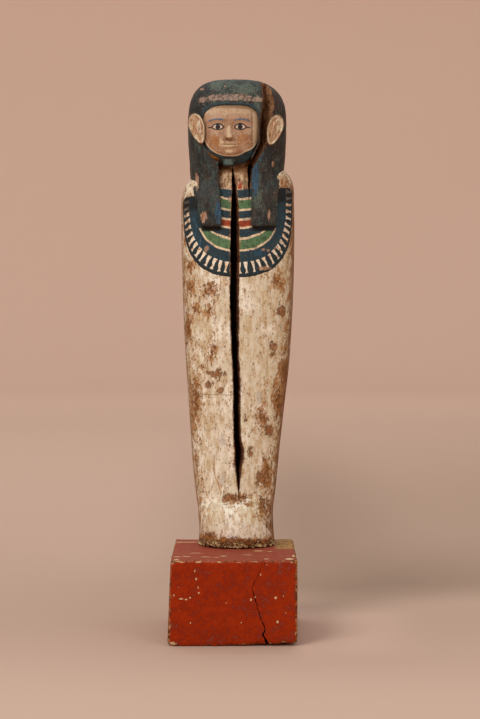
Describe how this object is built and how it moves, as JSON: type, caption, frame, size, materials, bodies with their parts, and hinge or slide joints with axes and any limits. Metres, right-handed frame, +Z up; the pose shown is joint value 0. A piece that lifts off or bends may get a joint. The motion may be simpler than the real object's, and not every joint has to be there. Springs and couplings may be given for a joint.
{
  "type": "ushabti figurine",
  "caption": "Painted wooden mummiform funerary figurine with a dark wig, large ears, a broad banded collar and deep shrinkage cracks, standing at the back of a red block plinth.",
  "frame": {"origin": "centre of the plinth's underside", "axes": "+Z up through the figure, -Y the way the figure faces, +X to the figure's left"},
  "size_m": [0.1026, 0.118, 0.4517],
  "materials": {
    "painted_figure": "aged cream gesso over wood, painted in blue-black, green and red, matte and worn",
    "painted_plinth": "worn red paint over wood, satin"
  },
  "bodies": {
    "root": {"figure": "painted_figure", "plinth": "painted_plinth"}
  },
  "joints": []
}
